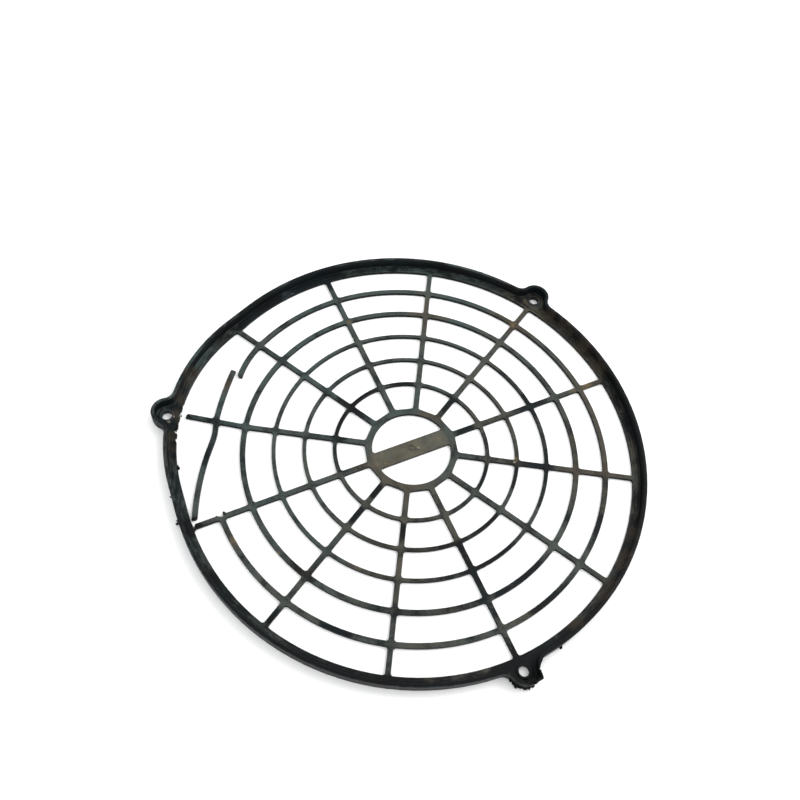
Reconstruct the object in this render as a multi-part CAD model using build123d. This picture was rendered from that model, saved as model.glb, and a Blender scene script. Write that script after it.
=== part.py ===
from build123d import *
import math
import os

# Fan cover: a round grille with a hub bar, a flat flange and a low outer wall that
# runs round three screw lugs. It is moulded in one piece of black plastic. The origin
# is the centre of the bolt circle on the underside, and the wall stands up along +Z.
# Angles are in degrees from +X, anticlockwise seen from above. The first lug is at +Y.

# Rim: flange, outer wall and screw lugs
bolt_circle_radius = 120.4
rim_height = 7.6
wall_thickness = 1.8
wall_draft_angle = 1.0
flange_width = 5.7
flange_thickness = 2.3
ledge_width = 1.5
wall_edge_radius = 0.4
base_edge_radius = 1.0
floor_fillet_radius = 0.7
lug_count = 3
lug_offset = 1.2
first_lug_angle = 90.0
lug_radius = 7.4
lug_blend_radius = 5.0
screw_hole_radius = 2.5
collar_width = 1.2
collar_height = 0.5

# Grille: hub ring with a bar across it, straight spokes and round rings
rib_thickness = 1.8
rib_draft_angle = 2.0
spoke_count = 12
spoke_root_width = 2.9
spoke_tip_width = 2.5
hub_opening_radius = 20.0
hub_ring_width = 3.3
bar_width = 9.2
bar_angle = 60.0
hub_gap = 15.5
rim_gap = 13.9
ring_count = 5
wide_ring_count = 2
ring_width = 2.0
wide_ring_width = 2.7
corner_radius = 1.2
gate_radius = 1.9
gate_nub_radius = 0.8
gate_depth = 0.35

# The rim and its third lug are pulled outward where the grille has broken off them
pull_angle = 205.0
pull_half_angle = 31.0
rim_pull = 4.1
lug_pull = 3.4

# Breaks on the pulled side: two spokes are off the rim, and the outermost ring is open
bent_spoke_index = 4
bent_spoke_turn_angle = -0.9
bent_spoke_end_gap = 2.8
snapped_spoke_index = 5
snapped_gap = 0.75
snapped_slant_angle = -18.0
snapped_stump_length = 0.15
snap_teeth = ((0.25, -1.0), (-0.25, -0.39), (0.25, 0.18), (-0.15, 0.45), (0.25, 1.0))
snap_slant_angles = {"spoke": -15.0, "stub": -28.0, "bowed": 8.0, "torn": 28.0}
snap_margin = 0.4
snap_depth = 1.3
stub_ring_angle = 12.9
stub_ring_inset = 2.4
bowed_ring_angle = 17.8
bowed_ring_outset = 2.3
torn_ring_dip_angle = 14.5
torn_knee_angle = 7.1
torn_ring_angle = 28.8
torn_ring_end_gap = 1.7
torn_bite_depths = (0.5, 0.9, 0.4, 1.6, 0.7)
torn_bite_radius = 1.6
torn_bite_start_angle = -3.6
torn_bite_pitch_angle = 2.4
torn_root_stump = (
    (-0.5, -2.6), (0.1, -2.6), (1.1, -2.1), (1.2, -1.4), (0.4, 1.7), (0.1, 2.6), (-0.5, 2.6),
)
torn_root_hollow = ((1.6, 2.3), (0.0, 1.7), (-1.2, -0.2), (-0.9, -0.8), (1.6, -1.3))

# Second lug: a stretch of its wall has split off along both ends and leans outward
split_lug_index = 1
split_start_angle = -16.0
split_sweep_angle = 54.0
split_lean_angle = 16.0
split_sink = 0.6

rim_radius = bolt_circle_radius - lug_offset
flange_radius = rim_radius - flange_width
hub_radius = hub_opening_radius + hub_ring_width
first_ring_radius = hub_radius + hub_gap
last_ring_radius = flange_radius - rim_gap
ring_pitch = (last_ring_radius - first_ring_radius) / (ring_count - 1)
spoke_pitch = 360.0 / spoke_count
lug_pitch = 360.0 / lug_count
seat_overlap = ledge_width / 2
wall_height = rim_height - flange_thickness
snap_reach = wide_ring_width / 2 + corner_radius + snap_margin


def polar(radius, angle):
    """Point at a radius and an angle from the bolt circle's centre."""
    return Vector(radius, 0).rotate(Axis.Z, angle)


def spoke_angle(index):
    """Angle of a spoke, counted from the first lug."""
    return first_lug_angle + index * spoke_pitch


def pulled_circle(radius):
    """Circle drawn outward on the third lug's side by two tangents and a tighter arc."""
    pull_run = math.cos(math.radians(pull_half_angle))
    pull_offset = rim_pull / (1 - pull_run)
    start, end = pull_angle - pull_half_angle, pull_angle + pull_half_angle
    round_side = CenterArc((0, 0), radius, end, 360 - 2 * pull_half_angle)
    pulled_side = CenterArc(
        polar(pull_offset, pull_angle), radius - pull_offset * pull_run, start, 2 * pull_half_angle
    )
    tangents = Line(round_side @ 1, pulled_side @ 0) + Line(pulled_side @ 1, round_side @ 0)
    return make_face(round_side + pulled_side + tangents)


def bearing(direction):
    """Angle of a direction seen from above."""
    return math.degrees(math.atan2(direction.Y, direction.X))


def edge_point(face, angle):
    """Point where a ray from the centre leaves a face."""
    ray = Line((0, 0), polar(2 * rim_radius, angle)) & face
    return ray.vertices().sort_by_distance((0, 0))[-1].center()


def lug_center(index):
    """Screw hole centre of a lug; the last one has moved outward with the rim."""
    shift = lug_pull if index == lug_count - 1 else 0
    return polar(bolt_circle_radius + shift, first_lug_angle - index * lug_pitch)


def rim_outline(inset):
    """Edge of the rim with its three lugs blended in, drawn inward by an inset."""
    outline = pulled_circle(rim_radius - inset)
    for index in range(lug_count):
        inward = first_lug_angle - index * lug_pitch + 180
        outline += Location(lug_center(index), (0, 0, inward)) * Circle(lug_radius - inset)
    corners = [
        corner for corner in outline.vertices()
        for index in range(lug_count)
        if (corner.center() - lug_center(index)).length < lug_radius + wall_thickness
    ]
    return fillet(corners, lug_blend_radius + inset)


def draft_run(height):
    """Sideways run of a drafted wall over a height."""
    return height * math.tan(math.radians(wall_draft_angle))


def rim():
    """Tray-like rim: a flange with its middle open, and a wall round it and the lugs."""
    body = extrude(rim_outline(draft_run(rim_height)), rim_height, taper=-wall_draft_angle)
    body = fillet(body.edges().group_by(Axis.Z)[0], base_edge_radius)
    pocket = rim_outline(wall_thickness + draft_run(wall_height))
    body -= Pos(0, 0, flange_thickness) * extrude(pocket, wall_height, taper=-wall_draft_angle)
    floor_edges = body.edges().filter_by_position(Axis.Z, flange_thickness, flange_thickness)
    body = fillet(floor_edges, floor_fillet_radius)
    body = fillet(body.edges().group_by(Axis.Z)[-1], wall_edge_radius)
    return body - extrude(pulled_circle(flange_radius + ledge_width), rim_height)


def spoke_blank(index):
    """Straight tapered spoke from the hub ring out to the rim's edge."""
    start = hub_opening_radius + hub_ring_width / 2
    end = rim_radius
    blank = Polygon(
        (start, spoke_root_width / 2), (start, -spoke_root_width / 2),
        (end, -spoke_tip_width / 2), (end, spoke_tip_width / 2),
        align=None,
    )
    return Rot(0, 0, spoke_angle(index)) * blank


def across(point, angle):
    """Distance of a point from the line through the centre at an angle."""
    return abs(point.dot(polar(1, angle + 90)))


def opening(inner, outer, first_spoke, last_spoke):
    """Opening between two spokes, and between an inner and an outer outline."""
    reach = 2 * rim_radius
    middle = (spoke_angle(first_spoke) + spoke_angle(last_spoke)) / 2
    wedge = Polygon(
        (0, 0), polar(reach, spoke_angle(first_spoke)),
        polar(reach, middle), polar(reach, spoke_angle(last_spoke)),
        align=None,
    )
    cell = (outer - inner) & wedge
    cell = cell - spoke_blank(first_spoke) - spoke_blank(last_spoke)
    sides = [spoke_angle(first_spoke), spoke_angle(last_spoke)]
    corners = [
        corner for corner in cell.vertices()
        if any(across(corner.center(), angle) < spoke_root_width for angle in sides)
    ]
    return fillet(corners, corner_radius)


def spoke_side(index, radius, side):
    """Point on a spoke's side, facing larger angles (1) or smaller ones (-1)."""
    angle = spoke_angle(index)
    return polar(radius, angle) + polar(side * spoke_tip_width / 2, angle + 90)


def ring_radius(index):
    """Centre line radius of a ring, counted from the hub."""
    return first_ring_radius + index * ring_pitch


def ring_face(index, side):
    """Disc that ends at a ring's inner side (-1) or outer side (1)."""
    width = wide_ring_width if index >= ring_count - wide_ring_count else ring_width
    return Circle(ring_radius(index) + side * width / 2)


def hub_openings():
    """Two openings in the hub ring, one each side of its bar."""
    bar = Rectangle(2 * hub_radius, bar_width)
    halves = Rot(0, 0, bar_angle) * (Circle(hub_opening_radius) - bar)
    return fillet(halves.vertices(), corner_radius)


def whole_plate():
    """Flat grille with its ledge, open where the outermost ring has broken away."""
    flange_edge = pulled_circle(flange_radius)
    inner_edges = [RegularPolygon(hub_radius, spoke_count, major_radius=False)]
    inner_edges += [ring_face(index, 1) for index in range(ring_count)]
    outer_edges = [ring_face(index, -1) for index in range(ring_count)] + [flange_edge]
    rows = [opening(inner, outer, 0, 1) for inner, outer in zip(inner_edges, outer_edges)]
    gap_start, gap_end = bent_spoke_index - 1, bent_spoke_index + 1
    openings = [opening(inner_edges[-2], flange_edge, gap_start, gap_end), *hub_openings()]
    for sector in range(spoke_count):
        in_gap = gap_start <= sector < gap_end
        for cell in rows[:-2] if in_gap else rows:
            openings.append(Rot(0, 0, sector * spoke_pitch) * cell)
    return pulled_circle(flange_radius + ledge_width + seat_overlap) - openings


def snap_cutter(point, angle, depth):
    """Cutter that snaps a rib off at a point, with teeth on the side facing inward."""
    teeth = [(tooth, share * snap_reach) for tooth, share in snap_teeth]
    back = [(depth, snap_reach), (depth, -snap_reach)]
    return Location(point, (0, 0, angle)) * Polygon(*teeth, *back, align=None)


def round_corners(sketch, point, reach):
    """Sketch with its corners within reach of a point filleted."""
    corners = [
        corner for corner in sketch.vertices() if (corner.center() - point).length < reach
    ]
    return fillet(corners, corner_radius)


def bent_spoke_line():
    """Centre line of the bent spoke, from its last whole ring to its free end."""
    angle = spoke_angle(bent_spoke_index)
    edge = edge_point(pulled_circle(flange_radius), angle)
    tip = polar(edge.length - bent_spoke_end_gap, angle + bent_spoke_turn_angle)
    return Line(polar(ring_radius(ring_count - 2), angle), tip)


def ring_piece(start, end_radius, sweep, dip=0):
    """Arc of the outermost ring that leaves a spoke square, or turned inward by a dip."""
    end = polar(end_radius, bearing(start) + sweep)
    turn = math.copysign(90 + dip, sweep)
    return TangentArc(start, end, tangent=polar(1, bearing(start) + turn))


def torn_ring_line(start):
    """Centre line of the torn ring, which dips, bends at a knee and runs out to the flange."""
    root = ring_piece(start, ring_radius(ring_count - 1), torn_knee_angle, torn_ring_dip_angle)
    end = polar(flange_radius - torn_ring_end_gap, bearing(start) + torn_ring_angle)
    return root + TangentArc(root @ 1, end, tangent=root % 1)


def broken_ribs():
    """Centre lines of the ribs that now end free in the grille's gap."""
    radius = ring_radius(ring_count - 1)
    spoke_line = bent_spoke_line()
    crossing = spoke_line @ (ring_pitch / spoke_line.length)
    stub_start = polar(radius, spoke_angle(bent_spoke_index - 1))
    return {
        "spoke": spoke_line,
        "stub": ring_piece(stub_start, radius - stub_ring_inset, stub_ring_angle),
        "bowed": ring_piece(crossing, radius + bowed_ring_outset, -bowed_ring_angle),
        "torn": torn_ring_line(crossing),
    }


def grille_plate():
    """Outline of the whole plate with the broken ribs added to it."""
    ribs = broken_ribs()
    crossing = ribs["bowed"] @ 0
    pieces = trace(ribs["spoke"], spoke_tip_width)
    pieces += trace(ribs["bowed"], wide_ring_width) + trace(ribs["torn"], wide_ring_width)
    pieces = round_corners(pieces, crossing, wide_ring_width)
    plate = whole_plate() + pieces + trace(ribs["stub"], wide_ring_width)
    stub_root = spoke_side(bent_spoke_index - 1, ring_radius(ring_count - 1), 1)
    spoke_root = ribs["spoke"] @ 0 + polar(wide_ring_width / 2, spoke_angle(bent_spoke_index))
    plate = round_corners(plate, stub_root, spoke_tip_width)
    return round_corners(plate, spoke_root, spoke_tip_width)


def torn_root(outline):
    """Outline placed where the torn ring came off the snapped spoke, its X away from the spoke."""
    root = spoke_side(snapped_spoke_index, ring_radius(ring_count - 1), -1)
    away = spoke_angle(snapped_spoke_index) - 90
    return Location(root, (0, 0, away)) * Polygon(*outline, align=None)


def end_cutters():
    """Cutters that give each broken rib a slanting, toothed end, clear of the flange."""
    snapped = spoke_angle(snapped_spoke_index)
    edge = edge_point(pulled_circle(flange_radius), snapped)
    snapped_end = polar(edge.length - snapped_gap, snapped)
    cutters = [snap_cutter(snapped_end, snapped + snapped_slant_angle, snap_reach)]
    for rib, line in broken_ribs().items():
        angle = bearing(line % 1) + snap_slant_angles[rib]
        cutters.append(snap_cutter(line @ 1, angle, snap_depth))
    inside = pulled_circle(flange_radius - snapped_stump_length)
    return [cutter & inside for cutter in cutters]


def torn_bites():
    """Circles that bite into the flange where the bent spoke tore off it."""
    flange_edge = pulled_circle(flange_radius)
    bites = []
    for index, depth in enumerate(torn_bite_depths):
        angle = spoke_angle(bent_spoke_index) + torn_bite_start_angle + index * torn_bite_pitch_angle
        reach = edge_point(flange_edge, angle).length + depth - torn_bite_radius
        bites.append(Pos(polar(reach, angle)) * Circle(torn_bite_radius))
    return bites


def grille():
    """Grille with drafted ribs, cut and left ragged where it has broken."""
    whole = extrude(grille_plate(), rib_thickness, taper=rib_draft_angle)
    whole += extrude(torn_root(torn_root_stump), rib_thickness)
    cutters = [*end_cutters(), *torn_bites(), torn_root(torn_root_hollow)]
    return whole - [extrude(cutter, rib_thickness, both=True) for cutter in cutters]


def lug_columns(radius, height):
    """Upright cylinders at the centres of the three lugs, from the underside up."""
    column = extrude(Circle(radius), height)
    return [Pos(lug_center(index)) * column for index in range(lug_count)]


def split_wall(body):
    """Body with a stretch of one lug's wall split off and leaning outward."""
    center = lug_center(split_lug_index)
    reach = lug_radius + lug_blend_radius
    middle = split_start_angle + split_sweep_angle / 2
    wedge = Polygon(
        (0, 0), polar(reach, split_start_angle), polar(reach, middle),
        polar(reach, split_start_angle + split_sweep_angle), align=None,
    )
    wedge -= Circle(lug_radius - wall_thickness - draft_run(rim_height) - floor_fillet_radius)
    block = Pos(center) * Pos(0, 0, flange_thickness) * extrude(wedge, rim_height)
    flap = body & block
    base = center + polar(lug_radius, middle) + Vector(0, 0, flange_thickness)
    hinge = Axis(base, polar(1, middle + 90))
    leaning = Pos(0, 0, -split_sink) * flap.rotate(hinge, split_lean_angle)
    return (body - block) + leaning


def fan_cover():
    """Whole moulding with its lugs' screw holes and the gate mark on the hub bar."""
    collars = lug_columns(screw_hole_radius + collar_width, flange_thickness + collar_height)
    body = split_wall(rim() + grille() + collars)
    body -= lug_columns(screw_hole_radius, rim_height)
    gate = extrude(Circle(gate_radius) - Circle(gate_nub_radius), gate_depth)
    return body - Pos(0, 0, rib_thickness - gate_depth) * gate


os.makedirs("parts", exist_ok=True)
cover = fan_cover()
cover.label = "fan_cover"
export_step(cover, "parts/fan_cover.step")
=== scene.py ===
# %% [markdown]
# # A broken fan cover
#
# The real object is a round grille that was moulded in one go from black plastic. It is
# thin, old and dusty, two of its spokes have come off the rim, and it lies flat on a white
# table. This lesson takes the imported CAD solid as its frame, gives it the soft edges, torn
# ends and dirt that a solid doesn't have, and photographs it from above.
#
# The frame is loaded first. Everything after it is in metres and in the same place as the
# solid, so nothing has to be fitted by eye. The box round the solid is kept, because the
# dressed part may not outgrow it.

import math
import random

import bmesh
import bpy
from mathutils import Matrix, Vector, noise
from mathutils.bvhtree import BVHTree


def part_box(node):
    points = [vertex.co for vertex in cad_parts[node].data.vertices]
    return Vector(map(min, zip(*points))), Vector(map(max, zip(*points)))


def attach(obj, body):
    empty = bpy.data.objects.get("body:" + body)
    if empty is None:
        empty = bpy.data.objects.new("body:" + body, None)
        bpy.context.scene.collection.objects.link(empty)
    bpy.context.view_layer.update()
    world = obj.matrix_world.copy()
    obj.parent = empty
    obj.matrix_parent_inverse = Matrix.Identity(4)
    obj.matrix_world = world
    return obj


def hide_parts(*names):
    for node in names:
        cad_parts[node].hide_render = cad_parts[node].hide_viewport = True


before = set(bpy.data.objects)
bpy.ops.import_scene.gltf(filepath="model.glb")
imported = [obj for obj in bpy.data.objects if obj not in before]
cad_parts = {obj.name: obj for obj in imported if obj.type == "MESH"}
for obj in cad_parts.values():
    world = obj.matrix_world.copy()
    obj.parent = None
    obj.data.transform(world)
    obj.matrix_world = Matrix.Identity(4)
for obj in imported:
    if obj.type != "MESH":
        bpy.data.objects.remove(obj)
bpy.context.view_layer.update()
MM = 0.001

# %% [markdown]
# ## Camera
#
# The photograph was taken by hand from the front, looking steeply down and a little askew,
# so the camera has a roll as well as an azimuth and an elevation. The three turns are made
# in the order in which a photographer makes them: walk round the table, tilt the camera
# down, then let it lean. The focal length is close to a plain 40 mm on a 36 mm wide sensor.

# %% Place the camera
EYE = Vector((0.08746, -0.19438, 0.39520))
AZIMUTH, ELEVATION, ROLL = 26.962, 58.628, 10.230
FOCAL_LENGTH, SENSOR_WIDTH = 39.797, 36.0
NEAREST, FARTHEST = 0.01, 20.0


def turned(degrees, axis):
    """Turn about an axis through the origin."""
    return Matrix.Rotation(math.radians(degrees), 4, axis)


lens = bpy.data.cameras.new("camera")
lens.lens = FOCAL_LENGTH
lens.sensor_width = SENSOR_WIDTH
lens.clip_start = NEAREST
lens.clip_end = FARTHEST
camera = bpy.data.objects.new("camera", lens)
aim = turned(AZIMUTH, "Z") @ turned(90 - ELEVATION, "X") @ turned(ROLL, "Z")
camera.matrix_world = Matrix.Translation(EYE) @ aim
bpy.context.scene.collection.objects.link(camera)
bpy.context.scene.camera = camera
print("camera", round(EYE.length, 3), "m from the centre of the cover")

# %% [markdown]
# ## Table and light
#
# The table in the photograph is so bright that it is nearly paper white, and the cover is
# nearly black. Such a picture needs two kinds of light: a white sky all round, which fills
# the shadows, and one large soft lamp at the upper right, which gives the pale shadow on the
# lower left of each rib. The table is lit a little past white, as in the photograph, which
# hides all but the deepest part of the shadows. The plastic has to be blacker in return.

# %% Make the table
FLOOR_SIZE = 3.0
FLOOR_COLOR, FLOOR_ROUGHNESS, FLOOR_GLOSS = (0.90, 0.895, 0.89, 1), 0.7, 0.2


def linked(name, data):
    """New object for some data, at the origin and in the scene."""
    made = bpy.data.objects.new(name, data)
    bpy.context.scene.collection.objects.link(made)
    return made


def mesh_object(name, shape):
    """New object from a bmesh, which is freed."""
    mesh = bpy.data.meshes.new(name)
    shape.to_mesh(mesh)
    shape.free()
    return linked(name, mesh)


def new_material(name):
    """Material with a node tree, and its principled shader."""
    made = bpy.data.materials.new(name)
    made.use_nodes = True
    return made, made.node_tree, made.node_tree.nodes["Principled BSDF"]


sheet = bmesh.new()
bmesh.ops.create_grid(sheet, x_segments=1, y_segments=1, size=FLOOR_SIZE / 2)
floor = mesh_object("floor", sheet)

paint, tree, shader = new_material("white_table")
shader.inputs["Base Color"].default_value = FLOOR_COLOR
shader.inputs["Roughness"].default_value = FLOOR_ROUGHNESS
shader.inputs["Specular IOR Level"].default_value = FLOOR_GLOSS
floor.data.materials.append(paint)
print("table", FLOOR_SIZE, "m wide")

# %% Light it
SKY_COLOR, SKY_STRENGTH = (0.98, 0.99, 1.0, 1), 1.4
LAMP_PLACE, LAMP_SIZE, LAMP_POWER = Vector((0.45, 1.05, 1.25)), 1.3, 16.0

sky = bpy.data.worlds.new("sky")
sky.use_nodes = True
sky.node_tree.nodes["Background"].inputs["Color"].default_value = SKY_COLOR
sky.node_tree.nodes["Background"].inputs["Strength"].default_value = SKY_STRENGTH
bpy.context.scene.world = sky

glow = bpy.data.lights.new("lamp", "AREA")
glow.shape = "DISK"
glow.size = LAMP_SIZE
glow.energy = LAMP_POWER
lamp = linked("lamp", glow)
lamp.location = LAMP_PLACE
lamp.rotation_euler = LAMP_PLACE.to_track_quat("Z", "Y").to_euler()

bpy.context.scene.view_settings.view_transform = "Standard"
print("lamp", round(LAMP_PLACE.length, 2), "m away")

# %% [markdown]
# ## One skin for the cover
#
# The solid arrives as loose triangles. A copy of them is merged into one closed skin, and
# the flat triangles are dissolved into whole faces. Merging keeps the exact outline of the
# solid, which a remesh would blur.

# %% Copy and merge the solid
MERGE_DISTANCE = 0.002 * MM
FLAT_ANGLE = math.radians(0.4)


def open_edges():
    """How many edges of the skin don't join exactly two faces."""
    return sum(not edge.is_manifold for edge in shell.edges)


shell = bmesh.new()
shell.from_mesh(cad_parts["fan_cover"].data)
bmesh.ops.remove_doubles(shell, verts=shell.verts, dist=MERGE_DISTANCE)
bmesh.ops.dissolve_limit(
    shell, angle_limit=FLAT_ANGLE, verts=shell.verts, edges=shell.edges, delimit=set()
)
low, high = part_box("fan_cover")
print("skin:", len(shell.faces), "faces,", open_edges(), "open edges")

# %% [markdown]
# ## Soft edges
#
# A mould never gives a perfectly sharp edge, and years of handling round it further. The
# outward edges of the ribs get a narrow bevel of two strips. A bevel on the mesh is better
# here than one in the material, because it is there from every side and is part of the mesh.
# It is made while the faces are still large, since a bevel needs room beside each edge. The
# points of the strips that no flat face shares are marked as edge, and the materials paint them
# paler, partly as rubbed wear and partly as a painted highlight. At a few needle-sharp corners
# of the breaks the bevel overshoots, and a point that has left the solid is put back on it.

# %% Bevel the outward edges
EDGE_WIDTH = 0.2 * MM
SHARP_ANGLE = math.radians(40)
edge_mark = shell.verts.layers.float.new("edge")
sharp_edges = [
    edge for edge in shell.edges
    if edge.is_manifold and edge.is_convex and edge.calc_face_angle() > SHARP_ANGLE
]
solid = BVHTree.FromBMesh(shell)
strips = bmesh.ops.bevel(
    shell, geom=sharp_edges, offset=EDGE_WIDTH, offset_type="OFFSET", affect="EDGES",
    segments=2, profile=0.5, material=-1, clamp_overlap=False,
)
strip_faces = set(strips["faces"])
put_back = 0
for vert in strips["verts"]:
    vert[edge_mark] = float(all(face in strip_faces for face in vert.link_faces))
    nearest, facing, index, distance = solid.find_nearest(vert.co)
    if distance > EDGE_WIDTH / 2:
        vert.co = nearest
        put_back += 1
bmesh.ops.remove_doubles(shell, verts=shell.verts, dist=MERGE_DISTANCE)
print(len(sharp_edges), "edges bevelled,", put_back, "points put back")
print("skin:", len(shell.faces), "faces,", open_edges(), "open edges")

# %% [markdown]
# ## Cuts
#
# A grid of cuts is laid through the skin, so that no face is longer than a few millimetres.
# Without them the top of the grille would be one huge face, and a dent at one end of it would
# bend the light all the way across.

# %% Cut the skin into small faces
CUT_PITCH = 5.0 * MM
CUT_SNAP = 0.01 * MM
AXES = (Vector((1, 0, 0)), Vector((0, 1, 0)), Vector((0, 0, 1)))


def cut_across(geometry, normal, start, end, pitch):
    """Cuts some of the skin by parallel planes; gives back all the pieces."""
    for step in range(1, int((end - start) / pitch) + 1):
        geometry = bmesh.ops.bisect_plane(
            shell, geom=geometry, dist=CUT_SNAP, plane_no=normal,
            plane_co=normal * (start + step * pitch),
        )["geom"]
    return geometry


skin_parts = shell.verts[:] + shell.edges[:] + shell.faces[:]
for axis in (0, 1):
    skin_parts = cut_across(skin_parts, AXES[axis], low[axis], high[axis], CUT_PITCH)
print("after the cuts:", len(shell.faces), "faces")

# %% [markdown]
# ## Breaks
#
# Brittle plastic tears with a rough, bitten face. Each place where a rib has snapped is given
# as x, y, z and a reach in millimetres. The skin near it is cut much finer, and its points are
# shaken by a noise that depends only on where they are. Blender's noise starts from the clock
# unless it is given a seed, so it gets one here, and the result is the same each time. The
# points only move sideways, which keeps the rib flat, and they move less towards the rim of
# the place, so that the roughness fades out.

# %% Roughen the broken ends
BREAKS = {
    "bent_spoke": (-99.8, -55.6, 0.9, 2.4), "snapped_spoke": (-56.4, -97.6, 0.9, 2.4),
    "torn_root": (-50.9, -85.6, 0.9, 2.6), "stub_ring": (-94.7, -21.7, 0.9, 2.2),
    "bowed_ring": (-99.7, -20.9, 0.9, 2.2), "torn_ring": (-59.0, -95.0, 0.9, 2.2),
    "bites_1": (-105.1, -52.2, 1.1, 2.4), "bites_2": (-102.8, -56.5, 1.1, 2.8),
    "bites_3": (-100.3, -60.7, 1.1, 2.8), "bites_4": (-97.4, -64.7, 1.1, 2.8),
    "bites_5": (-94.6, -68.7, 1.1, 2.4),
}
BREAK_PITCH, BREAK_FADE = 0.5 * MM, 2
SHAKE, SHAKE_SCALE = 0.22 * MM, 1500.0
NOISE_SEED = 5
noise.seed_set(NOISE_SEED)


def depth_in(point, place):
    """How deep a point is in a place: 0 at the place's rim, 1 at its middle."""
    x, y, z, reach = place
    away = (point - Vector((x, y, z)) * MM).length
    return max(0.0, 1 - away / (reach * MM))


def near_break(point):
    """How deep a point is in the nearest break."""
    return max(depth_in(point, place) for place in BREAKS.values())


def shake(vert, amount, scale):
    """Moves a point sideways by a noise that depends on its place alone."""
    push = noise.noise_vector(vert.co * scale) * amount
    vert.co += Vector((push.x, push.y, 0))


def fine_cuts(place, pitch):
    """Cuts the faces that reach into a place, along all three axes."""
    reach = place[3] * MM
    near = {face for vert in shell.verts if depth_in(vert.co, place) > 0
            for face in vert.link_faces}
    parts = list({*near, *(edge for face in near for edge in face.edges),
                  *(vert for face in near for vert in face.verts)})
    for axis in range(3):
        middle = place[axis] * MM
        parts = cut_across(parts, AXES[axis], middle - reach, middle + reach, pitch)


for place in BREAKS.values():
    fine_cuts(place, BREAK_PITCH)
for vert in shell.verts:
    shake(vert, SHAKE * min(1.0, BREAK_FADE * near_break(vert.co)), SHAKE_SCALE)
print("after the breaks:", len(shell.faces), "faces")

# %% [markdown]
# ## Split wall
#
# The wall of one lug has split and crumbled. There the noise is coarser and also eats the top
# of the wall away, and two corners of the leaning piece are bent back in towards the lug. The
# collar round the screw hole lies lower than all of this and is left as it is.

# %% Crumble the split wall
SPLIT_LUG = Vector((104.27, -60.2, 0))
SPLIT_WALL, SPLIT_FLOOR = (109.6, -61.6, 6.0, 6.8), 3.3 * MM
SPLIT_PITCH, SPLIT_FADE = 0.8 * MM, 3
CRUMBLE, CRUMBLE_SCALE = 0.55 * MM, 620.0
CHEW, CHEW_FINENESS = 4.0, 0.7
BENT_CORNERS = {(112.0, -55.0, 6.3, 4.2): 2.6 * MM, (113.4, -61.8, 6.0, 3.4): 1.2 * MM}


def near_split(point):
    """How deep a point is in the split wall."""
    return depth_in(point, SPLIT_WALL) if point.z > SPLIT_FLOOR else 0.0


fine_cuts(SPLIT_WALL, SPLIT_PITCH)
for vert in shell.verts:
    depth = near_split(vert.co)
    if depth > 0:
        amount = CRUMBLE * min(1.0, SPLIT_FADE * depth)
        shake(vert, amount, CRUMBLE_SCALE)
        bitten = abs(noise.noise(vert.co * CRUMBLE_SCALE * CHEW_FINENESS)) * CHEW * amount
        vert.co.z = min(vert.co.z, high.z - bitten)
for place, bend in BENT_CORNERS.items():
    for vert in shell.verts:
        inward = (SPLIT_LUG * MM - vert.co) * Vector((1, 1, 0))
        vert.co += inward.normalized() * bend * depth_in(vert.co, place)
print("after the split:", len(shell.faces), "faces")

# %% [markdown]
# ## Faces
#
# Four finishes share the skin, and each face is given one from where it is and how it lies:
# the plate with everything that faces up or down, the outer side of the wall, the shaded sides
# (the inner side of the wall and the flanks of the ribs, painted near black as shade), and the
# torn faces. Near a lug the wall bends, so there "outward" is meant from the middle of that
# lug. The rounded outer rim of the wall is marked as edge too, which paints a highlight line
# along it.

# %% Give each face its finish
# The third finish paints the shade of the sideways faces as a near-black plastic.
PLATE, OUTER, SHADED_SIDE, TORN = 0, 1, 2, 3
FLANGE_RADIUS = 113.0 * MM
STEEP, NEARLY_FLAT = 0.6, 0.97
TORN_SPLIT, TORN_BREAK = 0.12, 0.1
RIM_TOP = 7.1 * MM
WHOLE_LUG, PULLED_LUG = Vector((0, 120.4, 0)), Vector((-107.2, -61.9, 0))
LUG_CENTRES = [WHOLE_LUG * MM, PULLED_LUG * MM, SPLIT_LUG * MM]
LUG_REACH = 8.8 * MM


def looks_inward(face):
    """Whether a face of the wall looks into the cover or into a lug."""
    centre = face.calc_center_median()
    origin = Vector()
    for lug in LUG_CENTRES:
        if (centre - lug).xy.length < LUG_REACH:
            origin = lug
    return face.normal.xy.dot((centre - origin).xy) < 0


def on_rim_edge(face):
    """Whether a face is on the rounded outer edge of the wall's top."""
    high_up = face.calc_center_median().z > RIM_TOP
    return high_up and face.normal.z < NEARLY_FLAT and not looks_inward(face)


def finish_of(face):
    """Which of the four finishes a face has."""
    centre = face.calc_center_median()
    sideways = abs(face.normal.z) < STEEP
    if near_split(centre) > TORN_SPLIT or (near_break(centre) > TORN_BREAK and sideways):
        return TORN
    if not sideways:
        return PLATE
    return OUTER if centre.xy.length > FLANGE_RADIUS and not looks_inward(face) else SHADED_SIDE


for face in shell.faces:
    face.smooth = True
    face.material_index = finish_of(face)
    # The rounded outer rim of the wall is marked as edge, which paints a highlight line along it.
    if on_rim_edge(face):
        for vert in face.verts:
            vert[edge_mark] = 1.0
for name, finish in (("plate", PLATE), ("outer", OUTER), ("shaded_side", SHADED_SIDE), ("torn", TORN)):
    print(name, "faces:", sum(face.material_index == finish for face in shell.faces))

# %% Hang the skin on the frame
cover = mesh_object("cover", shell)
cover.data.set_sharp_from_angle(angle=SHARP_ANGLE)
weighted = cover.modifiers.new("even_normals", "WEIGHTED_NORMAL")
weighted.keep_sharp = True
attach(cover, "root")
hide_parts("fan_cover")
print("cover:", len(cover.data.polygons), "faces")
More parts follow.
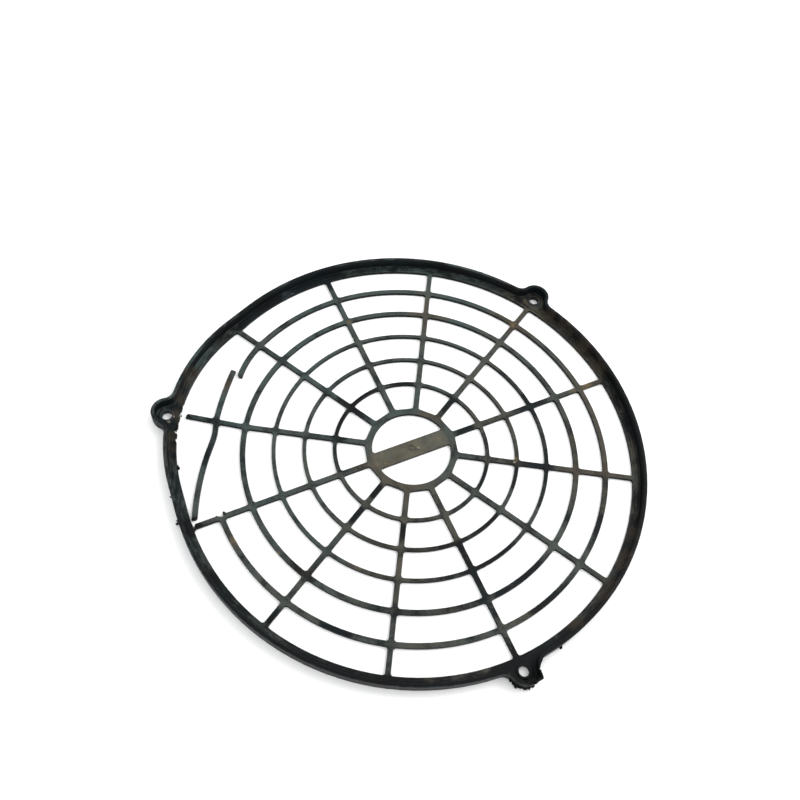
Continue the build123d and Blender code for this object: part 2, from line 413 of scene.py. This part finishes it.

# %% [markdown]
# ## Burrs
#
# Small crumbs of plastic still cling to the torn flange, to the outside of the rim and above
# all to the split wall, whose top is chewed to pieces and whose foot is lined with a band of
# them. They are one piece of their own, so that they can be as rough as they like without
# cutting up the skin. A few are placed one by one, as x, y, z and a radius in millimetres, and
# the rest are scattered round the split lug and along the bitten edge, by a random draw that is
# the same each time.

# %% Scatter the burrs
BURRS = [
    (112.0, -40.6, 2.0, 0.9), (-63.6, -100.9, 1.2, 0.9), (-64.9, -99.9, 0.9, 0.6),
    (-83.1, -79.8, 1.5, 0.9), (-84.3, -79.0, 1.6, 0.6), (-96.6, -67.0, 1.5, 0.6),
    (-74.6, -93.6, 3.0, 0.6), (-101.9, -57.6, 1.7, 0.6),
]
BITE_START, BITE_END, BITE_COUNT = Vector((-105.4, -51.6, 0)), Vector((-94.4, -69.0, 0)), 26
draw = random.Random(5)


def scatter_round_lug(count, arc, ring, heights, sizes):
    """Adds burrs over an arc (degrees) and a ring (mm) round the split lug."""
    for index in range(count):
        angle = math.radians(draw.uniform(*arc))
        place = SPLIT_LUG + Vector((math.cos(angle), math.sin(angle), 0)) * draw.uniform(*ring)
        BURRS.append((place.x, place.y, draw.uniform(*heights), draw.uniform(*sizes)))


scatter_round_lug(28, arc=(-70.0, 24.0), ring=(5.8, 7.2), heights=(3.6, 6.4), sizes=(0.25, 0.6))
# A band of dark crumbs along the foot of the split lug.
scatter_round_lug(60, arc=(-112.0, -24.0), ring=(6.7, 7.5), heights=(1.0, 2.6), sizes=(0.5, 0.85))
for index in range(BITE_COUNT):
    place = BITE_START.lerp(BITE_END, draw.random())
    BURRS.append((place.x - draw.uniform(0.7, 1.6), place.y - draw.uniform(0.4, 1.0),
                  draw.uniform(0.7, 1.7), draw.uniform(0.2, 0.45)))
print(len(BURRS), "burrs to make")

# %% [markdown]
# Each burr is a small ball that is stretched, turned and pushed about by a coarse and a fine
# noise. Its middle lies just inside what carries it, so that no burr hangs in the air.

# %% Make the burrs
BURR_TILT, BURR_LENGTH, BURR_WIDTH, BURR_HEIGHT = 40, (0.7, 1.5), 0.8, 0.7
BURR_LUMPS = ((1300, 0.5), (4200, 0.25))

crumbs = bmesh.new()
for x, y, z, radius in BURRS:
    spin = turned(draw.uniform(0, 360), "Z") @ turned(draw.uniform(-BURR_TILT, BURR_TILT), "X")
    stretch = Matrix.Diagonal((draw.uniform(*BURR_LENGTH), BURR_WIDTH, BURR_HEIGHT, 1))
    ball = bmesh.ops.create_icosphere(
        crumbs, subdivisions=3, radius=radius * MM,
        matrix=Matrix.Translation(Vector((x, y, z)) * MM) @ spin @ stretch,
    )
    for vert in ball["verts"]:
        for scale, share in BURR_LUMPS:
            vert.co += noise.noise_vector(vert.co * scale) * radius * share * MM
for face in crumbs.faces:
    face.smooth = True
burrs = mesh_object("burrs", crumbs)
burrs.data.set_sharp_from_angle(angle=SHARP_ANGLE)
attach(burrs, "root")
print("burrs:", len(burrs.data.polygons), "faces")

# %% [markdown]
# ## Effects for the plastic
#
# The same few things happen to every patch of this plastic: its colour is patchy, dirt sits in
# spots, dust settles on what faces up, the surface has a fine grain, dirty water has left
# streaks round the rim, and edges are rubbed paler, which also paints a highlight along them.
# Each effect is a node group, built once, that gives a mask or a height. The materials decide
# how strong it is and what colour it has.

# %% Helpers for node groups
def join(tree, pairs):
    """Links outputs to inputs; a plain value is set on the input instead."""
    for source, target in pairs:
        if hasattr(source, "is_output"):
            tree.links.new(source, target)
        else:
            target.default_value = source


def new_group(name, inputs, outputs):
    """Empty node group with named inputs and outputs, and its two end nodes."""
    tree = bpy.data.node_groups.new(name, "ShaderNodeTree")
    for label, kind, value in inputs:
        socket = tree.interface.new_socket(label, in_out="INPUT", socket_type=kind)
        socket.default_value = value
    for label, kind in outputs:
        tree.interface.new_socket(label, in_out="OUTPUT", socket_type=kind)
    return tree, tree.nodes.new("NodeGroupInput").outputs, tree.nodes.new("NodeGroupOutput").inputs


def math_node(tree, operation, first, second, clamp=False):
    """Output of a math node."""
    made = tree.nodes.new("ShaderNodeMath")
    made.operation = operation
    made.use_clamp = clamp
    join(tree, [(first, made.inputs[0]), (second, made.inputs[1])])
    return made.outputs[0]


def times(tree, first, second):
    """Product of two values, such as a mask and its strength."""
    return math_node(tree, "MULTIPLY", first, second)


def vector_node(tree, operation, first, second=(0, 0, 0)):
    """Outputs of a vector math node."""
    made = tree.nodes.new("ShaderNodeVectorMath")
    made.operation = operation
    join(tree, [(first, made.inputs[0]), (second, made.inputs[1])])
    return made.outputs


# %% Helpers for patterns
def ramp(tree, value, start, end):
    """Value turned into a soft mask: 0 at start and 1 at end."""
    made = tree.nodes.new("ShaderNodeMapRange")
    made.interpolation_type = "SMOOTHSTEP"
    join(tree, [(value, made.inputs["Value"]), (start, made.inputs["From Min"]),
                (end, made.inputs["From Max"])])
    return made.outputs["Result"]


def noise_at(tree, place, scale, detail, rough=0.55):
    """Value of a noise pattern at a place."""
    made = tree.nodes.new("ShaderNodeTexNoise")
    join(tree, [(place, made.inputs["Vector"]), (scale, made.inputs["Scale"]),
                (detail, made.inputs["Detail"]), (rough, made.inputs["Roughness"])])
    return made.outputs["Fac"]


def object_place(tree):
    """Place on the piece, in metres."""
    return tree.nodes.new("ShaderNodeTexCoord").outputs["Object"]


# %% Patches and spots
FLOAT, VECTOR = "NodeSocketFloat", "NodeSocketVector"
RAGGED_REACH = 4.0

patches, given, out = new_group(
    "patches", [("Scale", FLOAT, 60.0), ("Detail", FLOAT, 4.0), ("Low", FLOAT, 0.4),
                ("High", FLOAT, 0.6), ("Shift", VECTOR, (0, 0, 0))], [("Mask", FLOAT)])
moved = vector_node(patches, "ADD", object_place(patches), given["Shift"])["Vector"]
pattern = noise_at(patches, moved, given["Scale"], given["Detail"])
join(patches, [(ramp(patches, pattern, given["Low"], given["High"]), out["Mask"])])

spot, given, out = new_group(
    "spot", [("Centre", VECTOR, (0, 0, 0)), ("Radius", FLOAT, 0.002), ("Ragged", FLOAT, 0.5),
             ("Scale", FLOAT, 700.0), ("Core", FLOAT, 0.4)], [("Mask", FLOAT)])
away = vector_node(spot, "DISTANCE", object_place(spot), given["Centre"])["Value"]
uneven = noise_at(spot, object_place(spot), given["Scale"], 3.0)
uneven = times(spot, math_node(spot, "SUBTRACT", uneven, 0.5), given["Ragged"])
share = math_node(spot, "DIVIDE", away, given["Radius"])
share = math_node(spot, "ADD", share, times(spot, uneven, RAGGED_REACH))
join(spot, [(ramp(spot, share, 1.0, given["Core"]), out["Mask"])])
print("effects: patches, spot")

# %% Settled dust
FACING_LOW, FACING_HIGH = 0.35, 0.9
CLOUD_SHARE, SPECK_SHARE, SPECK_FINENESS = 0.65, 0.35, 14.0
DUST_LEVEL, DUST_PULL, DUST_SOFTNESS = 0.86, 0.62, 0.26

dust, given, out = new_group(
    "settled_dust", [("Amount", FLOAT, 0.5), ("Scale", FLOAT, 90.0)], [("Mask", FLOAT)])
facing = dust.nodes.new("ShaderNodeSeparateXYZ")
join(dust, [(dust.nodes.new("ShaderNodeTexCoord").outputs["Normal"], facing.inputs[0])])
upward = ramp(dust, facing.outputs["Z"], FACING_LOW, FACING_HIGH)
cloud = noise_at(dust, object_place(dust), given["Scale"], 5.0, 0.65)
speck = noise_at(dust, object_place(dust), times(dust, given["Scale"], SPECK_FINENESS), 3.0, 0.7)
mixed = math_node(dust, "ADD", times(dust, cloud, CLOUD_SHARE), times(dust, speck, SPECK_SHARE))
level = math_node(dust, "SUBTRACT", DUST_LEVEL, times(dust, given["Amount"], DUST_PULL))
settled = ramp(dust, mixed, level, math_node(dust, "ADD", level, DUST_SOFTNESS))
join(dust, [(times(dust, settled, upward), out["Mask"])])
print("effect: settled_dust")

# %% Grain, streaks and rubbed edges with a painted highlight
BROAD_SCALE, BROAD_HEIGHT = 0.16, 1.4
PIT_LOW, PIT_HIGH = 0.45, 0.62
RUB_START, RUB_PULL, RUB_FULL = 0.75, 0.4, 0.8

grain, given, out = new_group(
    "grain", [("Scale", FLOAT, 1600.0)], [("Height", FLOAT), ("Mask", FLOAT)])
fine = noise_at(grain, object_place(grain), given["Scale"], 4.0, 0.6)
broad = noise_at(grain, object_place(grain), times(grain, given["Scale"], BROAD_SCALE), 3.0)
join(grain, [(math_node(grain, "ADD", fine, times(grain, broad, BROAD_HEIGHT)), out["Height"]),
             (ramp(grain, fine, PIT_LOW, PIT_HIGH), out["Mask"])])

streaks, given, out = new_group(
    "streaks", [("Around", FLOAT, 25.0), ("Across", FLOAT, 1300.0), ("Low", FLOAT, 0.4),
                ("High", FLOAT, 0.6)], [("Mask", FLOAT)])
heading = vector_node(streaks, "NORMALIZE", object_place(streaks))["Vector"]
spread = vector_node(streaks, "MULTIPLY", heading, given["Around"])["Vector"]
outward = vector_node(streaks, "LENGTH", object_place(streaks))["Value"]
lift = streaks.nodes.new("ShaderNodeCombineXYZ")
join(streaks, [(times(streaks, outward, given["Across"]), lift.inputs["Z"])])
moved = vector_node(streaks, "ADD", spread, lift.outputs["Vector"])["Vector"]
band = noise_at(streaks, moved, 1.0, 3.0)
join(streaks, [(ramp(streaks, band, given["Low"], given["High"]), out["Mask"])])

# Rubbed edges: the marked edges turn paler, partly from wear and partly as a painted highlight.
edge_rub_and_highlight, given, out = new_group(
    "rubbed_edge_and_highlight", [("Amount", FLOAT, 0.5), ("Scale", FLOAT, 260.0)], [("Mask", FLOAT)])
marked = edge_rub_and_highlight.nodes.new("ShaderNodeAttribute")
marked.attribute_name = "edge"
wear = noise_at(edge_rub_and_highlight, object_place(edge_rub_and_highlight), given["Scale"], 4.0, 0.7)
start = math_node(edge_rub_and_highlight, "SUBTRACT", RUB_START, times(edge_rub_and_highlight, given["Amount"], RUB_PULL))
worn_and_highlit = ramp(edge_rub_and_highlight, wear, start, RUB_FULL)
join(edge_rub_and_highlight, [(times(edge_rub_and_highlight, worn_and_highlit, marked.outputs["Fac"]), out["Mask"])])
print("effects: grain, streaks, rubbed_edge_and_highlight")

# %% [markdown]
# ## Plastics
#
# The sound surface is black plastic under a film of dust, blue-grey on the left and brown on
# the right and near the hub, with rust-brown stains, a few golden ones and dark blotches. The
# plate and the outer side of the wall are the same plastic with other numbers, so one function
# makes both. The shaded sides, painted near black as shade, and the torn faces are simpler and
# are made after them.

# %% Helpers for materials
def use_group(tree, group, **values):
    """Outputs of a group placed in a tree with its own values."""
    made = tree.nodes.new("ShaderNodeGroup")
    made.node_tree = group
    join(tree, [(value, made.inputs[label]) for label, value in values.items()])
    return made.outputs


def blend(tree, mask, first, second):
    """Output of a colour mix: first where the mask is 0, second where it is 1."""
    made = tree.nodes.new("ShaderNodeMix")
    made.data_type = "RGBA"
    join(tree, [(mask, made.inputs["Factor"]), (first, made.inputs["A"]), (second, made.inputs["B"])])
    return made.outputs["Result"]


def color(red, green, blue):
    """Colour from the 0 to 255 numbers of a paint chart, as the linear light Blender uses."""
    levels = [value / 255 for value in (red, green, blue)]
    return (*[v / 12.92 if v <= 0.04045 else ((v + 0.055) / 1.055) ** 2.4 for v in levels], 1)


def spots(tree, places, ragged, scale, core=0.4):
    """Mask that is 1 in each of a list of places."""
    total = 0.0
    for x, y, z, radius in places:
        mask = use_group(tree, spot, Centre=(x * MM, y * MM, z * MM), Radius=radius * MM,
                         Ragged=ragged, Scale=scale, Core=core)["Mask"]
        total = math_node(tree, "MAXIMUM", mask, total)
    return total


def finish_shader(tree, shader, skin, roughness, gloss, height, bump_strength, bump_depth):
    """Gives the principled shader its colour, roughness, gloss and bumps."""
    bump = tree.nodes.new("ShaderNodeBump")
    join(tree, [(skin, shader.inputs["Base Color"]), (roughness, shader.inputs["Roughness"]),
                (gloss, shader.inputs["Specular IOR Level"]), (height, bump.inputs["Height"]),
                (bump_strength, bump.inputs["Strength"]), (bump_depth, bump.inputs["Distance"]),
                (bump.outputs["Normal"], shader.inputs["Normal"])])


# %% [markdown]
# ## Where the dirt is
#
# Dust doesn't lie evenly on the real cover: some stretches are wiped almost bare, some are
# thinly covered and some are thick with it. A painted mask could show this, but it would be a
# picture beside the script. Lists of soft spots do as well and are easy to change. Each place
# is x, y, z and a radius in millimetres.

# %% Zones of dust
BARE = [
    (-36, 6, 1.8, 18), (-38, -9, 1.8, 14), (69, -27, 1.8, 27), (25.8, -96.2, 1.8, 15),
    (0, -46, 1.8, 7), (0, -108, 1.8, 8), (23, -40, 1.8, 7), (15, 26, 1.8, 8),
    (34.7, 60.2, 1.8, 13), (-104, 54, 2.3, 24), (-115, 18, 2.3, 20), (0, -30, 1.8, 7),
    (-56, -98, 1.8, 7), (104, -60, 2.3, 18), (0, 33, 1.8, 9), (98, -24, 1.8, 17),
    (99, 22, 1.8, 15), (57, 28, 1.8, 17), (37.5, 10, 1.8, 11), (-27.4, 27.4, 1.8, 11),
    (52, -14, 1.8, 12), (-101, -62, 2.3, 15),
]
THIN = [
    (17.9, 66.8, 1.8, 14), (-59.7, -59.7, 1.8, 13), (58, -58, 1.8, 24), (-92, 0, 1.8, 9),
    (-87, -50, 1.8, 14), (-76, -66, 1.8, 12), (42, -73, 1.8, 22), (60, -100, 2.3, 20),
    (-30, -114, 2.3, 22), (30, -114, 2.3, 24), (0, -78, 1.8, 18), (66, 16, 1.8, 16),
    (50, 50, 1.8, 15), (82, 22, 1.8, 14), (60, 60, 1.8, 15), (117, 20, 2.3, 18),
    (90, 40, 1.8, 14), (28, 28, 1.8, 13), (-27, -27, 1.8, 13), (38, -10, 1.8, 13),
    (38, -38, 1.8, 14), (112, -40, 2.3, 18),
]
THICK = [
    (-79, 46, 1.8, 18), (-93, 50, 1.8, 10), (-50, 86, 1.8, 20), (-23, -40, 1.8, 8),
    (-20, -12, 1.8, 7), (-62, 14, 1.8, 12), (8, 117, 2.3, 22), (-110, -58, 7.6, 12),
    (-119, -30, 7.6, 12), (98, 64, 2.3, 22), (-92, -12, 1.8, 12), (-25, 92, 1.8, 26),
    (-28, 113, 2.3, 28), (0, 56, 1.8, 16), (-20, 66, 1.8, 18), (-70, 70, 1.8, 20),
]
WARM = [
    (-5, -22, 1.8, 15), (10, -20, 1.8, 13), (84, 50, 1.8, 16), (60, 82, 1.8, 15),
    (-42, 75, 1.8, 17), (0, 108, 1.8, 22), (20, -60, 1.8, 15), (70, 72, 1.8, 22),
    (-4, 21, 1.8, 9), (0, 0, 1.8, 14), (-98, -30, 1.8, 9),
]
HUB_DUST = [(-8, -13, 1.8, 10), (7, 12, 1.8, 9), (0, 0, 1.8, 14)]
LUG_FLOORS = [(0, 121, 3, 10), (104.27, -60.2, 3, 9)]
print(len(BARE), "bare places,", len(THIN), "thin,", len(THICK), "thick")

# %% Stains, blotches and chips
PLATE_STAINS = [
    (12, 117, 2.3, 7), (24, 115, 2.3, 10), (38, 110, 2.3, 11), (52, 103.5, 2.3, 9),
    (115, 13.5, 2.3, 11), (117, -4.7, 2.3, 11), (113, 28, 2.3, 9), (112, -28, 2.3, 7),
    (-108, -50, 2.3, 8), (-104, -58, 2.3, 6), (-114, -38, 2.3, 9), (-98, -72, 2.3, 7),
    (-98.4, -30, 1.8, 8), (84.3, 50.9, 1.8, 9), (72, 41.2, 1.8, 11), (77, 30, 1.8, 8),
    (62, 57, 1.8, 7), (-1, -82.1, 1.8, 5), (44.4, 27.3, 1.8, 6), (-38, -91, 1.8, 7),
    (53, 92, 1.8, 12), (0, 100, 1.8, 9),
]
WALL_STAINS = [(-3.6, 121.7, 4.5, 4), (2, 124, 4.5, 4)]
# A paler collar round the hole of the pulled lug, and two small spots that are painted highlights on
# the hole rims of the other two lugs.
COLLARS_AND_HIGHLIGHTS = [(-107.2, -61.9, 2.8, 4.0), (3.2, 118.6, 2.8, 1.6), (106.2, -57.5, 2.8, 0.8)]
GOLD_STAINS = [
    (-36.9, -91.5, 1.8, 3.0), (51.9, 90.3, 1.8, 4.5), (47, 83, 1.8, 3), (44.6, 28.2, 1.8, 2.2),
    (-4, 117.5, 2.8, 1.6), (-0.4, 98.6, 1.8, 3.2), (-72, 42.4, 1.8, 2), (-16.9, -84, 1.8, 1.6),
    (7.6, 13, 1.8, 1.2), (-5.5, -15, 1.8, 1.5), (-8.5, -18, 1.8, 1.3),
]
BLOTCHES = [
    (106, -62, 4.5, 13), (-99, -63, 1.5, 3.5), (-104, -53, 1.5, 3), (-94, -71, 1.5, 3),
    (-56.2, -97.4, 1.8, 2), (-94.6, -22.5, 1.8, 1.6), (-58.8, -95.4, 1.8, 1.6),
    (-50, -84, 1.8, 1.4),
]
CHIPS = [
    (-104, -60.4, 2.3, 0.7), (-102.3, -58.7, 2.3, 0.6), (-104.1, -63.8, 2.3, 1.0),
    (45.5, 26.2, 1.8, 0.8), (2.4, 2.6, 1.8, 0.8), (102.2, -52.4, 6.5, 0.9),
]
print(len(PLATE_STAINS) + len(GOLD_STAINS) + len(BLOTCHES) + len(CHIPS), "stains and chips")

# %% [markdown]
# ## Dust
#
# The amount of dust is one number that the zones raise or lower, and the dust effect turns it
# into a speckled film. Its colour is a separate question. Both are worked out on their own, so
# that one can be tuned without the other. The hub lies under an older, more golden layer.

# %% Dust on the plastic
# The teal black paints the sky's bluish reflection into the black of the plastic.
BLACK, TEAL_REFLECTION_BLACK = color(13, 14, 15), color(14, 20, 22)
BROWN_DUST, GREEN_DUST, GOLD_DUST = color(72, 68, 60), color(61, 72, 70), color(82, 79, 68)
ZONE_RAGGED, ZONE_SCALE, ZONE_CORE, BARE_CORE = 0.3, 90.0, 0.1, 0.2
BARE_CHANGE, THIN_CHANGE, THICK_CHANGE = -0.42, -0.16, 0.14
WALL_TOP_CHANGE, STREAK_CHANGE = -0.4, 0.16
CLOUD_BROWN, SIDE_BROWN = 0.45, 0.45
HUB_FILM, HUB_BASE = 0.5, 0.42


def dust_film(tree, amount, flange, wall_top):
    """Mask of the dust, after each zone has changed its amount."""
    runs = use_group(tree, streaks, Around=22.0, Across=1300.0, Low=0.36, High=0.62)["Mask"]
    changes = [
        (spots(tree, BARE, ZONE_RAGGED, ZONE_SCALE, BARE_CORE), BARE_CHANGE),
        (spots(tree, THIN, ZONE_RAGGED, ZONE_SCALE, ZONE_CORE), THIN_CHANGE),
        (spots(tree, THICK, ZONE_RAGGED, ZONE_SCALE, ZONE_CORE), THICK_CHANGE),
        (wall_top, WALL_TOP_CHANGE), (times(tree, flange, runs), STREAK_CHANGE),
    ]
    for mask, change in changes:
        amount = math_node(tree, "ADD", amount, times(tree, mask, change), clamp=True)
    return use_group(tree, dust, Amount=amount, Scale=150.0)["Mask"]


def dust_color(tree, rightness):
    """Colour of the dust: blue-green on the left, brown on the right and in the warm zones."""
    cloud = use_group(tree, patches, Scale=24.0, Detail=3.0, Low=0.36, High=0.64,
                      Shift=(0.4, 0.1, 0))["Mask"]
    brown = math_node(
        tree, "ADD", times(tree, cloud, CLOUD_BROWN), times(tree, rightness, SIDE_BROWN))
    warm = spots(tree, WARM, ZONE_RAGGED, ZONE_SCALE, ZONE_CORE)
    return blend(tree, math_node(tree, "ADD", brown, warm, clamp=True), GREEN_DUST, BROWN_DUST)


def hub_dust(tree, skin):
    """Skin with the golden dust of the hub on it."""
    film = use_group(tree, dust, Amount=0.8, Scale=240.0)["Mask"]
    film = math_node(tree, "ADD", times(tree, film, HUB_FILM), HUB_BASE)
    return blend(tree, times(tree, film, spots(tree, HUB_DUST, 0.35, 160.0)), skin, GOLD_DUST)


# %% [markdown]
# ## Stains
#
# Along the right the flange is painted black where it meets the wall, as the wall's shade on
# it, apart from the floors of the lugs. Stains, collars and blotches are laid over the dust, each
# kind with its own raggedness, fineness, core, strength and colour; some collars are painted
# highlights on the rims of the screw holes. Edges are rubbed paler last, which also paints a
# highlight along them, with a few pale chips, because they are the newest marks.

# %% Stains on the plastic
RUST_BROWN, GOLD_STAIN = color(60, 52, 43), color(100, 85, 60)
# The black of the dark blotches, also used for the painted shade beside the wall.
SOOT_AND_SHADE, PALE_CHIP = color(7, 7, 8), color(112, 106, 92)
# Paler grey of the rubbed edges, partly a painted highlight, and of the collars, some of which are
# painted highlights.
RUBBED_AND_HIGHLIGHT, COLLAR_AND_HIGHLIGHT = color(72, 80, 80), color(44, 52, 56)
# Where the band of painted shade beside the wall starts, where it is full, and how strong it is.
BAND_START, BAND_FULL, BAND_SHARE = 115.2 * MM, 116.8 * MM, 0.6
RUB_AMOUNT, RUB_SHARE = 0.8, 0.45


def painted_wall_shade(tree, skin, rightness, away):
    """Skin with a black band of painted shade beside the wall on it."""
    band = times(tree, rightness, ramp(tree, away, BAND_START, BAND_FULL))
    kept = math_node(tree, "SUBTRACT", 1.0, spots(tree, LUG_FLOORS, 0.1, 300.0, 0.7))
    return blend(tree, times(tree, times(tree, band, kept), BAND_SHARE), skin, SOOT_AND_SHADE)


def stained(tree, skin, stains):
    """Skin with collars, stains and blotches on it."""
    kinds = [
        # Collars: paler plastic, and painted highlights on the hole rims.
        (COLLARS_AND_HIGHLIGHTS, 0.15, 600.0, 0.85, 0.6, COLLAR_AND_HIGHLIGHT), (stains, 0.5, 260.0, 0.0, 0.5, RUST_BROWN),
        (GOLD_STAINS, 0.5, 700.0, 0.0, 0.6, GOLD_STAIN), (BLOTCHES, 0.6, 380.0, 0.2, 0.8, SOOT_AND_SHADE),
    ]
    for places, ragged, scale, core, share, tone in kinds:
        mask = spots(tree, places, ragged, scale, core)
        skin = blend(tree, times(tree, mask, share), skin, tone)
    return skin


def rubbed_highlit_and_chipped(tree, skin):
    """Skin with rubbed edges, partly a painted highlight, and pale chips on it."""
    rub_and_highlight = times(tree, use_group(tree, edge_rub_and_highlight, Amount=RUB_AMOUNT)["Mask"], RUB_SHARE)
    skin = blend(tree, rub_and_highlight, skin, RUBBED_AND_HIGHLIGHT)
    return blend(tree, spots(tree, CHIPS, 0.6, 1500.0), skin, PALE_CHIP)


# %% [markdown]
# ## Plate and outer wall
#
# Now the layers are stacked, in the order in which the real marks came about: two blacks, a
# plain one and a teal one that paints the sky's bluish reflection, the film of dust, the golden
# dust of the hub, the painted shade beside the wall, stains, and wear that also paints a
# highlight on the edges. Dust also takes the last of the gloss away. The top of the wall is
# wiped on the right.

# %% Weathered black plastic
FLANGE_START, FLANGE_FULL = 112.6 * MM, 114.5 * MM
LEFT_SIDE, RIGHT_SIDE = -50 * MM, 40 * MM
WALL_LOW, WALL_HIGH = 6.4 * MM, 7.3 * MM
FILM_SHARE, FILM_ROUGHNESS = 0.85, 0.3
GRAIN_SCALE, GRAIN_STRENGTH, GRAIN_DEPTH = 1500.0, 0.4, 0.06 * MM


def weathered(name, dustiness, flange_loss, stains, gloss, roughness):
    """Black plastic under dust and stains; the plate and the wall differ in their numbers."""
    made, tree, shader = new_material(name)
    axes = tree.nodes.new("ShaderNodeSeparateXYZ")
    join(tree, [(object_place(tree), axes.inputs[0])])
    away = vector_node(tree, "LENGTH", object_place(tree))["Value"]
    flange = ramp(tree, away, FLANGE_START, FLANGE_FULL)
    rightness = ramp(tree, axes.outputs["X"], LEFT_SIDE, RIGHT_SIDE)
    wall_top = times(tree, rightness, ramp(tree, axes.outputs["Z"], WALL_LOW, WALL_HIGH))
    amount = math_node(tree, "SUBTRACT", dustiness, times(tree, flange, flange_loss))
    film = dust_film(tree, amount, flange, wall_top)

    # Random patches of the teal black, a painted reflection of the sky, among the plain black.
    tint = use_group(tree, patches, Scale=60.0, Detail=4.0, Low=0.40, High=0.62)["Mask"]
    skin = blend(tree, tint, TEAL_REFLECTION_BLACK, BLACK)
    skin = blend(tree, times(tree, film, FILM_SHARE), skin, dust_color(tree, rightness))
    skin = hub_dust(tree, skin)
    # Painted shade of the wall on the flange, on the right side only.
    skin = painted_wall_shade(tree, skin, rightness, away)
    skin = stained(tree, skin, stains)
    # Rubbed edges, partly wear and partly a painted highlight, and pale chips.
    skin = rubbed_highlit_and_chipped(tree, skin)
    dulled = math_node(tree, "ADD", roughness, times(tree, film, FILM_ROUGHNESS), clamp=True)
    height = use_group(tree, grain, Scale=GRAIN_SCALE)["Height"]
    finish_shader(tree, shader, skin, dulled, gloss, height, GRAIN_STRENGTH, GRAIN_DEPTH)
    return made


plate_plastic = weathered(
    "weathered_plastic", dustiness=0.88, flange_loss=0.26, stains=PLATE_STAINS, gloss=0.07,
    roughness=0.45)
outer_plastic = weathered(
    "wall_plastic", dustiness=0.35, flange_loss=0.0, stains=WALL_STAINS, gloss=0.03,
    roughness=0.5)
print("plate and outer wall plastic made")

# %% [markdown]
# ## Shaded sides
#
# The inner side of the wall and the flanks of the ribs are out of reach of a duster. They are
# painted almost black and nearly without gloss, as painted shade, with a few faint runs along
# them.

# %% Make the plastic of the shaded sides
SHADED_SIDE_BLACK, SHADED_SIDE_GREY = color(6, 7, 8), color(18, 21, 22)
SHADED_SIDE_STAIN_SHARE = 0.6

# Near-black plastic that paints the shade of the sideways faces, with faint runs and the rust stains
# of the wall.
shaded_side_plastic, tree, shader = new_material("shaded_side_plastic")
runs = use_group(tree, streaks, Around=30.0, Across=900.0, Low=0.5, High=0.8)["Mask"]
skin = blend(tree, runs, SHADED_SIDE_BLACK, SHADED_SIDE_GREY)
stain = times(tree, spots(tree, WALL_STAINS, 0.6, 300.0, 0.0), SHADED_SIDE_STAIN_SHARE)
skin = blend(tree, stain, skin, RUST_BROWN)
height = use_group(tree, grain, Scale=GRAIN_SCALE)["Height"]
finish_shader(tree, shader, skin, 0.6, 0.04, height, GRAIN_STRENGTH, GRAIN_DEPTH)
print("sooty plastic made")

# %% [markdown]
# ## Torn faces
#
# A torn face is the same plastic without its skin: matt, pitted and very dark, with a few pale
# flecks where it was stretched before it gave way. The burrs are made of it too.

# %% Make the torn plastic
TORN_BLACK, TORN_GREY, TORN_FLECK = color(7, 8, 9), color(20, 22, 23), color(66, 60, 50)
TORN_STRENGTH, TORN_DEPTH = 0.8, 0.25 * MM

torn_plastic, tree, shader = new_material("torn_plastic")
surface = use_group(tree, grain, Scale=700.0)
skin = blend(tree, surface["Mask"], TORN_BLACK, TORN_GREY)
flecks = use_group(tree, patches, Scale=500.0, Detail=2.0, Low=0.62, High=0.76)["Mask"]
skin = blend(tree, flecks, skin, TORN_FLECK)
finish_shader(tree, shader, skin, 0.6, 0.08, surface["Height"], TORN_STRENGTH, TORN_DEPTH)
print("torn plastic made")

# %% [markdown]
# ## Finishes on the pieces
#
# The slots are filled in the order of the four finishes, so each face finds its own by the
# number that it was given above.

# %% Put the plastics on
cover.data.materials.clear()
for finish in (plate_plastic, outer_plastic, shaded_side_plastic, torn_plastic):
    cover.data.materials.append(finish)
burrs.data.materials.append(torn_plastic)
print("materials:", ", ".join(made.name for made in cover.data.materials))
